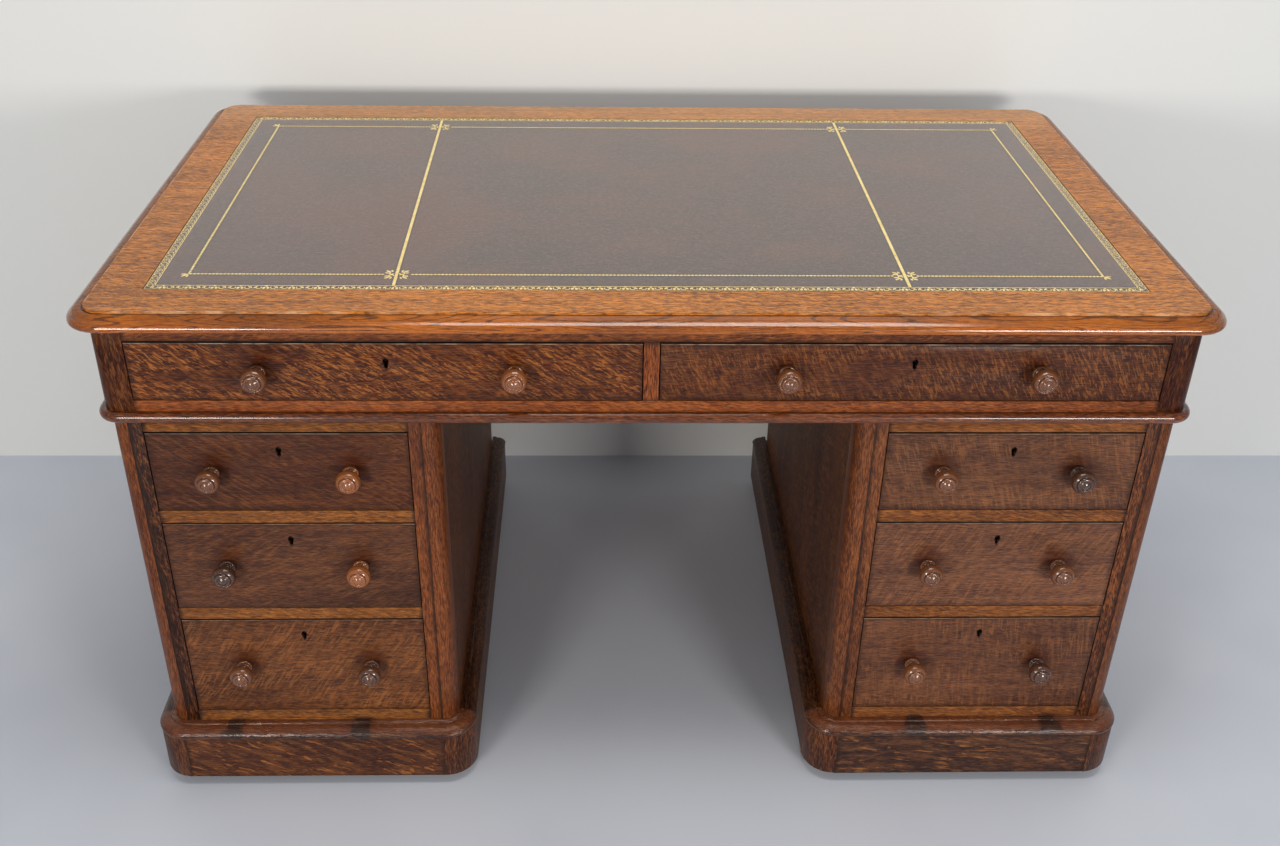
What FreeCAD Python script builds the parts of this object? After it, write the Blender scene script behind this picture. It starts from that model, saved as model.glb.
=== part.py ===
import FreeCAD, Part
import os

# Oak pedestal desk: a leather-lined top section with two frieze drawers, on two pedestals of three.
# Millimetres, +X to the right, +Y to the back, +Z up.
# The origin is on the floor, in the middle of the bounding box.

# Main sizes
frieze_width = 1334.0            # over the sides of the top section, and over both pedestals
pedestal_width = 405.0
pedestal_depth = 736.0           # pedestal face to pedestal back
frieze_forward = 15.0            # the frieze stands this far in front of the pedestal faces
glide_height = 16.5
plinth_height = 73.0             # the plinth boards, under the moulding
plinth_moulding_height = 15.5
bottom_rail_show = 18.0          # bottom rail above the plinth moulding
drawer_heights = (163.4, 139.0, 117.0)   # pedestal drawer fronts, from the lowest up
rail_thickness = 18.4            # rails between the pedestal drawers
pedestal_top_rail = 25.0
frieze_bottom_rail = 29.0
frieze_drawer_height = 78.4
frieze_top_rail = 20.0

# Top board
top_thickness = 20.0
top_overhang_front = 21.0
top_overhang_side = 24.5
top_overhang_back = 24.0
top_corner_radius = 45.0
thumb_reach = 20.5               # width of the moulded edge outside the flat
quirk_drop = 3.0                 # step down from the flat to the moulded edge
leather_inset = 79.5             # outer edge of the top to the edge of the leather
leather_thickness = 1.6
leather_gap = 0.4

# Carcase
board_thickness = 18.0
pedestal_back_thickness = 12.0
corner_radius = 20.0
post_width = 21.5
post_depth = 40.0
stile_width = 17.0
stile_thickness = 20.0
frieze_post_width = 40.0
muntin_width = 19.0
rail_depth = 60.0
frieze_rail_depth = 50.0
runner_width = 50.0
guide_height = 20.0
dust_panel_thickness = 6.0
bearer_width = 60.0
dowel_radius = 6.0
dowel_depth = 12.0
dowel_clearance = 0.1
dowel_inset = 90.0

# Drawers
front_thickness = 20.0
front_gap = 1.3                  # gap all round a drawer front
slide_gap = 0.3                  # drawer sides above their runners, and front behind its stops
drawer_back_space = 26.0         # free space behind a closed drawer
drawer_side_thickness = 10.0
drawer_back_thickness = 10.0
drawer_bottom_thickness = 6.0
drawer_bottom_raise = 9.0
drawer_top_drop = 2.5            # drawer sides below the top of the front
groove_depth = 5.0
dovetail_lap = 13.0
dovetail_pitch = 38.0
dovetail_wide_share = 0.62       # tail width at its wide end, as a share of the pitch
dovetail_narrow_share = 0.44
stop_length = 40.0
stop_depth = 25.0
stop_height = 5.0
stop_place_share = 0.30          # stops from the middle of the opening, as a share of its width

# Locks
lock_width = 60.0
lock_height = 40.0
lock_depth = 11.0
bolt_width = 22.0
bolt_thickness = 6.0
bolt_height = 18.0
bolt_throw = 7.0
bolt_clearance = 0.3
mortise_clearance = 0.7
keyhole_drop = 25.0              # top of the drawer front to the round of the keyhole
keyhole_radius = 3.3
keyhole_slot_width = 4.6
keyhole_slot_height = 9.0
key_pin_radius = 1.3
key_pin_recess = 3.0
key_space_depth = 5.0

# Knobs
knob_projection = 35.0
knob_radius = 15.8
knob_tenon_radius = 6.0
knob_tenon_clearance = 0.1
knob_spacing_frieze = 308.0
knob_spacing_pedestal = 175.0

# Mouldings and plinth
waist_reach = 9.0
waist_height = 14.0
plinth_reach = 24.0
plinth_board_reach = 23.0
plinth_board_thickness = 28.0
glue_block_size = 40.0
glide_radius = 14.0

overrun = 5.0                    # cuts run this far past the face they open on

# Outlines, as shares of a moulding's reach and height; the middle pair of an arc lies on the arc
thumb_outline_shares = (
    (0.0, 0.0),
    (0.78, 0.0),
    ("arc", (0.936, 0.078), (1.0, 0.265)),
    ("arc", (0.959, 0.488), (0.843, 0.670)),
    ("arc", (0.492, 0.915), (0.091, 1.0)),
    (0.0, 1.0),
)
waist_outline_shares = (
    (0.0, 0.0),
    (0.42, 0.0),
    ("arc", (1.0, 0.5), (0.42, 1.0)),
    (0.0, 1.0),
)
plinth_outline_shares = (
    (0.0, 0.0),
    (0.97, 0.0),
    ("arc", (0.995, 0.12), (1.0, 0.30)),
    ("arc", (0.79, 0.68), (0.30, 0.86)),
    (0.30, 1.0),
    (0.0, 1.0),
)
# Half section of a knob: distance out from the drawer face, and radius
knob_outline_shares = (
    (0.0, 0.0),
    (0.0, 0.60),
    ("arc", (0.065, 0.67), (0.130, 0.60)),
    (0.145, 0.45),
    ("arc", (0.170, 0.41), (0.200, 0.43)),
    ("arc", (0.245, 0.52), (0.290, 0.43)),
    ("arc", (0.315, 0.42), (0.340, 0.52)),
    ("arc", (0.375, 0.74), (0.455, 0.83)),
    (0.470, 0.81),
    ("arc", (0.655, 1.0), (0.865, 0.74)),
    (0.850, 0.67),
    ("arc", (0.925, 0.60), (0.945, 0.48)),
    (0.915, 0.42),
    ("arc", (0.968, 0.24), (1.0, 0.06)),
    (1.0, 0.0),
)

# Places worked out from the sizes
depth_overall = knob_projection + frieze_forward + pedestal_depth + plinth_reach
frieze_face = knob_projection - depth_overall / 2
pedestal_face = frieze_face + frieze_forward
back_face = pedestal_face + pedestal_depth
half_frieze = frieze_width / 2
half_pedestal = pedestal_width / 2
pedestal_centre = half_frieze - half_pedestal
plinth_top = glide_height + plinth_height
bottom_opening = plinth_top + plinth_moulding_height + bottom_rail_show
opening_half = half_pedestal - post_width - stile_width
frieze_opening_outer = half_frieze - frieze_post_width
frieze_opening_inner = muntin_width / 2


def opening_levels():
    """Bottom and top of each pedestal drawer opening, from the lowest up."""
    levels = []
    low = bottom_opening
    for height in drawer_heights:
        high = low + height + 2 * front_gap
        levels.append((low, high))
        low = high + rail_thickness
    return levels


levels = opening_levels()
pedestal_top = levels[-1][1] + pedestal_top_rail
frieze_low = pedestal_top + frieze_bottom_rail
frieze_high = frieze_low + frieze_drawer_height + 2 * front_gap
top_underside = frieze_high + frieze_top_rail
desk_height = top_underside + top_thickness

across = FreeCAD.Vector(1, 0, 0)
forward = FreeCAD.Vector(0, -1, 0)
upward = FreeCAD.Vector(0, 0, 1)


def block(x0, x1, y0, y1, z0, z1):
    """Square-edged board between two corners."""
    low = FreeCAD.Vector(min(x0, x1), min(y0, y1), z0)
    return Part.makeBox(abs(x1 - x0), abs(y1 - y0), z1 - z0, low)


def outline_face(shares, reach, height, origin, out, up):
    """Face of an outline, drawn from its origin along out and up."""
    def place(pair):
        return origin + out * (pair[0] * reach) + up * (pair[1] * height)

    edges = []
    last = place(shares[0])
    for step in shares[1:]:
        if step[0] == "arc":
            end = place(step[2])
            edges.append(Part.Arc(last, place(step[1]), end).toShape())
        else:
            end = place(step)
            edges.append(Part.LineSegment(last, end).toShape())
        last = end
    edges.append(Part.LineSegment(last, place(shares[0])).toShape())
    return Part.Face(Part.Wire(edges))


def moulding_strip(shares, reach, height, start, end, out):
    """Straight length of moulding between two points of its inner line."""
    return outline_face(shares, reach, height, start, out, upward).extrude(end - start)


def moulding_corner(shares, reach, height, centre, radius, out, turn):
    """Quarter turn of moulding round a corner centre, starting in direction out."""
    face = outline_face(shares, reach, height, centre + out * radius, out, upward)
    return face.revolve(centre, upward, turn)


def joined(shapes):
    """One clean solid from touching pieces."""
    return shapes[0].fuse(shapes[1:]).removeSplitter()


def moulding_run(shares, reach, height, x0, x1, y0, y1, z):
    """Moulding round a carcase: front with its two round corners, two sides and the back."""
    point = FreeCAD.Vector
    left_centre = point(x0 + corner_radius, y0 + corner_radius, z)
    right_centre = point(x1 - corner_radius, y0 + corner_radius, z)
    front = joined([
        moulding_strip(shares, reach, height, point(left_centre.x, y0, z), point(right_centre.x, y0, z), forward),
        moulding_corner(shares, reach, height, left_centre, corner_radius, -across, 90),
        moulding_corner(shares, reach, height, right_centre, corner_radius, across, -90),
    ])
    side_end = y1 + reach
    left = moulding_strip(shares, reach, height, point(x0, left_centre.y, z), point(x0, side_end, z), -across)
    right = moulding_strip(shares, reach, height, point(x1, right_centre.y, z), point(x1, side_end, z), across)
    back = moulding_strip(shares, reach, height, point(x0, y1, z), point(x1, y1, z), -forward)
    return [front, left, right, back]


def rounded_plate(x0, x1, y0, y1, z0, z1, radius):
    """Plate with four round corners."""
    plate = block(x0, x1, y0, y1, z0, z1)
    corners = [edge for edge in plate.Edges if abs(edge.tangentAt(edge.FirstParameter).z) > 0.5]
    return plate.makeFillet(radius, corners)


def corner_post(x_outer, inward, y_front, width, z0, z1):
    """Upright whose outer front corner is rounded; inward is +1 or -1 along X."""
    post = block(x_outer, x_outer + inward * width, y_front, y_front + post_depth, z0, z1)
    for edge in post.Edges:
        middle = edge.CenterOfMass
        if abs(middle.x - x_outer) < front_gap and abs(middle.y - y_front) < front_gap:
            corner = edge
    return post.makeFillet(corner_radius, [corner])


def top_board():
    """Solid top with a moulded edge, rounded corners and a shallow bed for the leather."""
    x = half_frieze + top_overhang_side - thumb_reach
    y0 = frieze_face - top_overhang_front + thumb_reach
    y1 = back_face + top_overhang_back - thumb_reach
    z = top_underside
    radius = top_corner_radius - thumb_reach
    edge_height = top_thickness - quirk_drop
    point = FreeCAD.Vector
    pieces = [rounded_plate(-x, x, y0, y1, z, z + top_thickness, radius)]
    runs = (
        (point(-x + radius, y0, z), point(x - radius, y0, z), forward),
        (point(-x + radius, y1, z), point(x - radius, y1, z), -forward),
        (point(-x, y0 + radius, z), point(-x, y1 - radius, z), -across),
        (point(x, y0 + radius, z), point(x, y1 - radius, z), across),
    )
    for start, end, out in runs:
        pieces.append(moulding_strip(thumb_outline_shares, thumb_reach, edge_height, start, end, out))
    corners = (
        (point(-x + radius, y0 + radius, z), -across, 90),
        (point(x - radius, y0 + radius, z), across, -90),
        (point(-x + radius, y1 - radius, z), -across, -90),
        (point(x - radius, y1 - radius, z), across, 90),
    )
    for centre, out, turn in corners:
        pieces.append(moulding_corner(thumb_outline_shares, thumb_reach, edge_height, centre, radius, out, turn))
    board = joined(pieces)
    half_bed, bed_front, bed_back = leather_bed()
    bed = block(-half_bed, half_bed, bed_front, bed_back, desk_height - leather_thickness, desk_height + overrun)
    return [board.cut(bed)]


def leather_bed():
    """Half width, front and back of the bed that holds the leather."""
    half_bed = half_frieze + top_overhang_side - leather_inset
    bed_front = frieze_face - top_overhang_front + leather_inset
    bed_back = back_face + top_overhang_back - leather_inset
    return half_bed, bed_front, bed_back


def writing_leather():
    """Leather sheet in its bed, level with the wood."""
    half_bed, bed_front, bed_back = leather_bed()
    return [block(-half_bed + leather_gap, half_bed - leather_gap, bed_front + leather_gap,
                  bed_back - leather_gap, desk_height - leather_thickness, desk_height)]


def frieze_sides():
    """End boards of the top section."""
    inner = half_frieze - board_thickness
    y0 = frieze_face + post_depth
    return [block(side * inner, side * half_frieze, y0, back_face, pedestal_top, top_underside)
            for side in (-1, 1)]


def frieze_back():
    """Back board of the top section, between its sides."""
    inner = half_frieze - board_thickness
    return [block(-inner, inner, back_face - board_thickness, back_face, pedestal_top, top_underside)]


def frieze_posts():
    """Rounded front corners of the top section."""
    return [corner_post(side * half_frieze, -side, frieze_face, frieze_post_width, pedestal_top, top_underside)
            for side in (-1, 1)]


def bolt_mortise(x, face, z):
    """Slot in the underside of a rail for a lock bolt."""
    half_width = bolt_width / 2 + mortise_clearance
    y0, y1 = bolt_span(face)
    return block(x - half_width, x + half_width, y0 - mortise_clearance, y1 + mortise_clearance,
                 z - overrun, z + bolt_throw + mortise_clearance)


def bolt_span(face):
    """Front and back of a lock bolt, behind the drawer face it belongs to."""
    middle = face + front_thickness - lock_depth / 2
    return middle - bolt_thickness / 2, middle + bolt_thickness / 2


def frieze_rails():
    """Top rail, bottom rail and centre muntin between the frieze posts."""
    y1 = frieze_face + frieze_rail_depth
    x = frieze_opening_outer
    top_rail = block(-x, x, frieze_face, y1, frieze_high, top_underside)
    for side in (-1, 1):
        top_rail = top_rail.cut(bolt_mortise(side * frieze_drawer_centre(), frieze_face, frieze_high))
    bottom_rail = block(-x, x, frieze_face, y1, pedestal_top, frieze_low)
    muntin = block(-frieze_opening_inner, frieze_opening_inner, frieze_face, frieze_face + stile_thickness,
                   frieze_low, frieze_high)
    return [top_rail, bottom_rail, muntin]


def frieze_drawer_centre():
    """Middle of a frieze drawer opening, along X."""
    return (frieze_opening_outer + frieze_opening_inner) / 2


def drawer_stops(x_middle, opening_width, face, z):
    """Two small blocks on a rail, which stop a drawer front level with its face."""
    y0 = face + front_thickness + slide_gap
    stops = []
    for side in (-1, 1):
        x = x_middle + side * stop_place_share * opening_width
        stops.append(block(x - stop_length / 2, x + stop_length / 2, y0, y0 + stop_depth, z, z + stop_height))
    return stops


def frieze_runners():
    """Runners, guides, kickers and stops of the two frieze drawers, and the bearers under them."""
    inner = half_frieze - board_thickness
    y0 = frieze_face + frieze_rail_depth
    y1 = back_face - board_thickness
    low = frieze_low - board_thickness
    pieces = []
    for z0, z1 in ((low, frieze_low), (frieze_high, top_underside)):
        pieces.append(block(-runner_width, runner_width, y0, y1, z0, z1))
        for side in (-1, 1):
            pieces.append(block(side * (inner - runner_width), side * inner, y0, y1, z0, z1))
    pieces.append(block(-frieze_opening_inner, frieze_opening_inner, frieze_face + stile_thickness, y1,
                        frieze_low, frieze_low + guide_height))
    for side in (-1, 1):
        pieces.append(block(side * frieze_opening_outer, side * inner, frieze_face + post_depth, y1,
                            frieze_low, frieze_low + guide_height))
        pieces += drawer_stops(side * frieze_drawer_centre(), frieze_opening_outer - frieze_opening_inner,
                               frieze_face, frieze_low)
        bearer = block(side * (half_frieze - pedestal_width), side * (half_frieze - pedestal_width + bearer_width),
                       y0, y1, pedestal_top, low)
        for hole in dowel_places(side):
            bearer = bearer.cut(dowel_at(hole, dowel_radius + dowel_clearance, overrun))
        pieces.append(bearer)
    return pieces


def dowel_places(side):
    """Places of the two dowels that locate the top section on one pedestal."""
    x = side * (half_frieze - pedestal_width + bearer_width / 2)
    return [FreeCAD.Vector(x, y, pedestal_top) for y in (pedestal_face + rail_depth + dowel_inset,
                                                         back_face - dowel_inset)]


def dowel_at(place, radius, extra):
    """Upright dowel through the joint between pedestal and top section."""
    height = dowel_depth + frieze_low - board_thickness - pedestal_top
    return Part.makeCylinder(radius, height + extra, place - upward * dowel_depth)


def location_dowels():
    """Dowels that keep the top section in its place on the pedestals."""
    return [dowel_at(place, dowel_radius, 0) for side in (-1, 1) for place in dowel_places(side)]


def waist_moulding():
    """Bead round the foot of the top section."""
    return moulding_run(waist_outline_shares, waist_reach, waist_height, -half_frieze, half_frieze,
                        frieze_face, back_face, pedestal_top)


def pedestal_sides(x):
    """Two side boards of a pedestal."""
    y0 = pedestal_face + post_depth
    inner = half_pedestal - board_thickness
    return [block(x + side * inner, x + side * half_pedestal, y0, back_face, plinth_top, pedestal_top)
            for side in (-1, 1)]


def pedestal_back(x):
    """Back board of a pedestal, between its sides."""
    inner = half_pedestal - board_thickness
    return [block(x - inner, x + inner, back_face - pedestal_back_thickness, back_face, plinth_top, pedestal_top)]


def pedestal_front(x):
    """Rounded posts, stiles and rails of a pedestal's front."""
    pieces = []
    for side in (-1, 1):
        outer = x + side * half_pedestal
        pieces.append(corner_post(outer, -side, pedestal_face, post_width, plinth_top, pedestal_top))
        edge = outer - side * post_width
        pieces.append(block(edge, edge - side * stile_width, pedestal_face, pedestal_face + stile_thickness,
                            plinth_top, pedestal_top))
    y1 = pedestal_face + rail_depth
    pieces.append(block(x - opening_half, x + opening_half, pedestal_face, y1, plinth_top, levels[0][0]))
    for low, high in levels:
        rail_top = pedestal_top if high == levels[-1][1] else high + rail_thickness
        rail = block(x - opening_half, x + opening_half, pedestal_face, y1, high, rail_top)
        pieces.append(rail.cut(bolt_mortise(x, pedestal_face, high)))
    return pieces


def pedestal_runners(x):
    """Runners, dust panels, guides, kickers, stops, bottom board and top board of a pedestal."""
    inner = half_pedestal - board_thickness
    y0 = pedestal_face + rail_depth
    y1 = back_face - pedestal_back_thickness
    pieces = [block(x - inner, x + inner, y0, y1, levels[0][0] - board_thickness, levels[0][0])]
    top_board_low = pedestal_top - board_thickness
    cover = block(x - inner, x + inner, y0, y1, top_board_low, pedestal_top)
    for side in (-1, 1):
        for place in dowel_places(side):
            cover = cover.cut(dowel_at(place, dowel_radius + dowel_clearance, overrun))
    pieces.append(cover)
    for side in (-1, 1):
        edge = x + side * inner
        pieces.append(block(edge, edge - side * runner_width, y0, y1, levels[-1][1], top_board_low))
        for low, high in levels:
            pieces.append(block(edge, x + side * opening_half, pedestal_face + post_depth, y1,
                                low, low + guide_height))
        for low, high in levels[1:]:
            pieces.append(block(edge, edge - side * runner_width, y0, y1, low - rail_thickness, low))
    for low, high in levels[1:]:
        middle = low - rail_thickness / 2
        pieces.append(block(x - inner + runner_width, x + inner - runner_width, y0, y1,
                            middle - dust_panel_thickness / 2, middle + dust_panel_thickness / 2))
    for low, high in levels:
        pieces += drawer_stops(x, 2 * opening_half, pedestal_face, low)
    return pieces


def quarter_block(x, y, side, radius, z0, z1):
    """Solid quarter round at a front corner of the plinth."""
    disc = Part.makeCylinder(radius, z1 - z0, FreeCAD.Vector(x, y, z0))
    return disc.common(block(x, x + side * radius, y - radius, y, z0, z1))


def pedestal_plinth(x):
    """Plinth boards, rounded corner blocks, inner glue blocks and the moulding on top."""
    z0 = glide_height
    reach = plinth_board_reach
    inset = plinth_board_thickness - plinth_board_reach
    straight = half_pedestal - corner_radius
    y_corner = pedestal_face + corner_radius
    pieces = [
        block(x - straight, x + straight, pedestal_face - reach, pedestal_face + inset, z0, plinth_top),
        block(x - half_pedestal + inset, x + half_pedestal - inset, back_face - inset, back_face + reach,
              z0, plinth_top),
    ]
    for side in (-1, 1):
        inner = x + side * (half_pedestal - inset)
        pieces.append(block(inner, x + side * (half_pedestal + reach), y_corner, back_face + reach, z0, plinth_top))
        pieces.append(quarter_block(x + side * straight, y_corner, side, corner_radius + reach, z0, plinth_top))
        for y, turn in ((pedestal_face + inset, 1), (back_face - inset, -1)):
            pieces.append(block(inner, inner - side * glue_block_size, y, y + turn * glue_block_size,
                                z0, plinth_top))
    pieces += moulding_run(plinth_outline_shares, plinth_reach, plinth_moulding_height, x - half_pedestal,
                           x + half_pedestal, pedestal_face, back_face, plinth_top)
    return pieces


def glides():
    """Round wooden feet under the four glue blocks of each pedestal."""
    inset = plinth_board_thickness - plinth_board_reach + glue_block_size / 2
    feet = []
    for centre in (-pedestal_centre, pedestal_centre):
        for side in (-1, 1):
            for y in (pedestal_face + inset, back_face - inset):
                place = FreeCAD.Vector(centre + side * (half_pedestal - inset), y, 0)
                foot = Part.makeCylinder(glide_radius, glide_height, place)
                rim = [edge for edge in foot.Edges if edge.BoundBox.ZMax < glide_height / 2]
                feet.append(foot.makeFillet(glide_height / 4, rim))
    return feet


def dovetails(side, x_outer, y_end, z0, z1):
    """Tails of one drawer side, let into the back of the front; the side ends at y_end."""
    count = max(2, round((z1 - z0) / dovetail_pitch))
    pitch = (z1 - z0) / count
    wide = dovetail_wide_share * pitch / 2
    narrow = dovetail_narrow_share * pitch / 2
    tails = []
    for place in range(count):
        middle = z0 + (place + 0.5) * pitch
        corners = ((y_end - dovetail_lap, wide), (y_end, narrow), (y_end, -narrow), (y_end - dovetail_lap, -wide))
        points = [FreeCAD.Vector(x_outer, y, middle + z) for y, z in corners]
        face = Part.Face(Part.makePolygon(points + points[:1]))
        tails.append(face.extrude(across * (-side * drawer_side_thickness)))
    return tails


def drawer(centre, width, face, back, low, height, knob_spacing):
    """All pieces of one drawer, as a dictionary of solids by short name."""
    z0 = low + front_gap
    z1 = z0 + height
    side_low = low + slide_gap
    side_high = z1 - drawer_top_drop
    half = width / 2
    inside = half - drawer_side_thickness
    y_front = face + front_thickness
    bottom_low = side_low + drawer_bottom_raise
    bottom_high = bottom_low + drawer_bottom_thickness
    bottom = block(centre - inside - groove_depth, centre + inside + groove_depth, y_front - groove_depth, back,
                   bottom_low, bottom_high)
    front = block(centre - half, centre + half, face, y_front, z0, z1)
    sides = []
    for side in (-1, 1):
        outer = centre + side * half
        tails = dovetails(side, outer, y_front, z0, side_high)
        front = front.cut(tails)
        board = block(outer, outer - side * drawer_side_thickness, y_front, back, side_low, side_high)
        sides.append(joined([board] + tails).cut(bottom))
    back_board = block(centre - inside, centre + inside, back - drawer_back_thickness, back,
                       bottom_high, side_high)
    lock, bolt = drawer_lock(centre, face, z1)
    front = front.cut([bottom, lock_recess(centre, face, z1), keyhole(centre, face, z1)])
    knobs = []
    for side in (-1, 1):
        place = FreeCAD.Vector(centre + side * knob_spacing / 2, face, (z0 + z1) / 2)
        knobs.append(knob(place))
        front = front.cut(knob_hole(place))
    return {"front": [front], "box": sides + [back_board, bottom], "knobs": knobs, "lock": [lock], "bolt": [bolt]}


def knob(place):
    """Turned knob with its tenon through the drawer front."""
    face = outline_face(knob_outline_shares, knob_projection, knob_radius, place, forward, upward)
    turned = face.revolve(place, forward, 360)
    tenon = Part.makeCylinder(knob_tenon_radius, front_thickness, place, -forward)
    return joined([turned, tenon])


def knob_hole(place):
    """Hole in a drawer front for a knob's tenon."""
    radius = knob_tenon_radius + knob_tenon_clearance
    return Part.makeCylinder(radius, front_thickness + overrun, place, -forward)


def lock_recess(x, face, z1):
    """Pocket for a lock in the back of a drawer front, open at its top edge."""
    y1 = face + front_thickness
    return block(x - lock_width / 2, x + lock_width / 2, y1 - lock_depth, y1 + overrun,
                 z1 - lock_height, z1 + overrun)


def keyhole(x, face, z1):
    """Round hole with a slot below it, from the drawer face to the lock."""
    z = z1 - keyhole_drop
    y1 = face + front_thickness - lock_depth
    half_slot = keyhole_slot_width / 2
    hole = Part.makeCylinder(keyhole_radius, y1 - face + overrun, FreeCAD.Vector(x, y1, z), forward)
    slot = block(x - half_slot, x + half_slot, face - overrun, y1, z - keyhole_slot_height, z)
    return hole.fuse(slot)


def drawer_lock(x, face, z1):
    """Lock case with its key pin, and the bolt that slides up out of it."""
    y1 = face + front_thickness
    y0 = y1 - lock_depth
    bolt_front, bolt_back = bolt_span(face)
    half_bolt = bolt_width / 2
    case = block(x - lock_width / 2, x + lock_width / 2, y0, y1, z1 - lock_height, z1)
    channel = block(x - half_bolt - bolt_clearance, x + half_bolt + bolt_clearance, bolt_front - bolt_clearance,
                    bolt_back + bolt_clearance, z1 - bolt_height - bolt_clearance, z1 + overrun)
    z = z1 - keyhole_drop
    key_space = Part.makeCylinder(keyhole_radius, key_space_depth, FreeCAD.Vector(x, y0, z), -forward)
    half_slot = keyhole_slot_width / 2
    key_slot = block(x - half_slot, x + half_slot, y0, y0 + key_space_depth, z - keyhole_slot_height, z)
    pin_length = front_thickness - lock_depth - key_pin_recess + key_space_depth
    pin = Part.makeCylinder(key_pin_radius, pin_length, FreeCAD.Vector(x, y0 + key_space_depth, z), forward)
    case = case.cut([channel, key_space, key_slot])
    bolt = block(x - half_bolt, x + half_bolt, bolt_front, bolt_back, z1 - bolt_height, z1)
    return joined([case, pin]), bolt


def all_parts():
    """Every node of the desk, by name."""
    parts = {
        "top_board": top_board(),
        "writing_leather": writing_leather(),
        "frieze_sides": frieze_sides(),
        "frieze_back": frieze_back(),
        "frieze_posts": frieze_posts(),
        "frieze_rails": frieze_rails(),
        "frieze_runners": frieze_runners(),
        "waist_moulding": waist_moulding(),
        "location_dowels": location_dowels(),
        "glides": glides(),
    }
    for hand, side in (("left", -1), ("right", 1)):
        x = side * pedestal_centre
        parts[hand + "_pedestal_sides"] = pedestal_sides(x)
        parts[hand + "_pedestal_back"] = pedestal_back(x)
        parts[hand + "_pedestal_front"] = pedestal_front(x)
        parts[hand + "_pedestal_runners"] = pedestal_runners(x)
        parts[hand + "_pedestal_plinth"] = pedestal_plinth(x)
        frieze_width_inside = frieze_opening_outer - frieze_opening_inner - 2 * front_gap
        pieces = drawer(side * frieze_drawer_centre(), frieze_width_inside, frieze_face,
                        back_face - board_thickness - drawer_back_space, frieze_low, frieze_drawer_height,
                        knob_spacing_frieze)
        for piece, solids in pieces.items():
            parts[hand + "_frieze_drawer_" + piece] = solids
        for name, level, height in zip(("bottom", "middle", "top"), levels, drawer_heights):
            pieces = drawer(x, 2 * (opening_half - front_gap), pedestal_face,
                            back_face - pedestal_back_thickness - drawer_back_space, level[0], height,
                            knob_spacing_pedestal)
            for piece, solids in pieces.items():
                parts[hand + "_" + name + "_drawer_" + piece] = solids
    return parts


os.makedirs("parts", exist_ok=True)
for name, solids in all_parts().items():
    shape = solids[0] if len(solids) == 1 else Part.makeCompound(solids)
    shape.exportStep("parts/" + name + ".step")
    print(name, len(shape.Solids), shape.isValid(), round(shape.Volume / 1000))
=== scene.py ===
import math
import bpy
from mathutils import Matrix, Vector


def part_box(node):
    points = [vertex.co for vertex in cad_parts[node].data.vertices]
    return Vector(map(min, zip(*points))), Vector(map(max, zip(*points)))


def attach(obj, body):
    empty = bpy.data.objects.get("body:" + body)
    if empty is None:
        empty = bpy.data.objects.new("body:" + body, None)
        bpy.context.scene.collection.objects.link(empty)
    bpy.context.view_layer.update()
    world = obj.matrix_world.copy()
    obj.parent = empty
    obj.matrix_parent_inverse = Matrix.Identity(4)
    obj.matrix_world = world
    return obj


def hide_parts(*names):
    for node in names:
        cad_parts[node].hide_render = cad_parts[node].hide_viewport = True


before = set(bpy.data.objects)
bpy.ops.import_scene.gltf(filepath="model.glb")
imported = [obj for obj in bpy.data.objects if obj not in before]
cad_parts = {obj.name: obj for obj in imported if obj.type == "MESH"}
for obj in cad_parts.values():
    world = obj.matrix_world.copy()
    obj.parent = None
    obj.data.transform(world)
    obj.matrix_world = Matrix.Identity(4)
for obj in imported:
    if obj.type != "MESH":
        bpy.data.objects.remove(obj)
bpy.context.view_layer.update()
bpy.ops.object.select_all(action="DESELECT")

# The room: a painted floor and a plain pale wall close behind the desk, as a photographer has them.
# The wall lets light and sight through from behind, so the desk's back can be looked at.
floor_wide = 16
wall_wide = 9
wall_high = 3
wall_y = 0.5
bpy.ops.mesh.primitive_grid_add(x_subdivisions=4, y_subdivisions=4, size=floor_wide, location=(0, 0, 0))
floor = bpy.context.object
floor.name = "floor"
bpy.ops.mesh.primitive_plane_add(size=1, location=(0, 0, 0))
wall = bpy.context.object
wall.name = "wall"
wall.scale = (wall_wide, wall_high, 1)
wall.rotation_euler = (math.radians(90), 0, 0)
wall.location = (0, wall_y, wall_high / 2)
bpy.ops.object.transform_apply(location=True, rotation=True, scale=True)


def srgb(red, green, blue):
    """A colour as a paint chart gives it, 0 to 255, for a shader's socket."""
    parts = [(c / 255 + 0.055) / 1.055 for c in (red, green, blue)]
    return tuple(c ** 2.4 for c in parts) + (1.0,)


def new_finish(name):
    """An empty finish, with its node tree and its shader."""
    made = bpy.data.materials.new(name)
    made.use_nodes = True
    return made, made.node_tree, made.node_tree.nodes["Principled BSDF"]


def add(tree, kind, sockets=None, **settings):
    """One shader node with its settings, and its sockets linked or set."""
    made = tree.nodes.new("ShaderNode" + kind)
    for key, value in settings.items():
        setattr(made, key, value)
    for key, value in (sockets or {}).items():
        if isinstance(value, bpy.types.NodeSocket):
            tree.links.new(value, made.inputs[key])
        else:
            made.inputs[key].default_value = value
    return made


def fade(tree, value, start, end, low=0.0, high=1.0):
    """Smooth change from low to high as value goes from start to end."""
    sockets = {"Value": value, "From Min": start, "From Max": end, "To Min": low, "To Max": high}
    return add(tree, "MapRange", sockets, interpolation_type="SMOOTHSTEP").outputs[0]


def cloud(tree, place, stretch, detail=2.0, roughness=0.55, distortion=0.0):
    """Noise at place, with so many cells a metre along each axis as stretch says."""
    scaled = add(tree, "VectorMath", {0: place, 1: stretch}, operation="MULTIPLY").outputs[0]
    sockets = {"Vector": scaled, "Scale": 1.0, "Detail": detail, "Roughness": roughness,
               "Distortion": distortion}
    return add(tree, "TexNoise", sockets).outputs[0]


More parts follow.
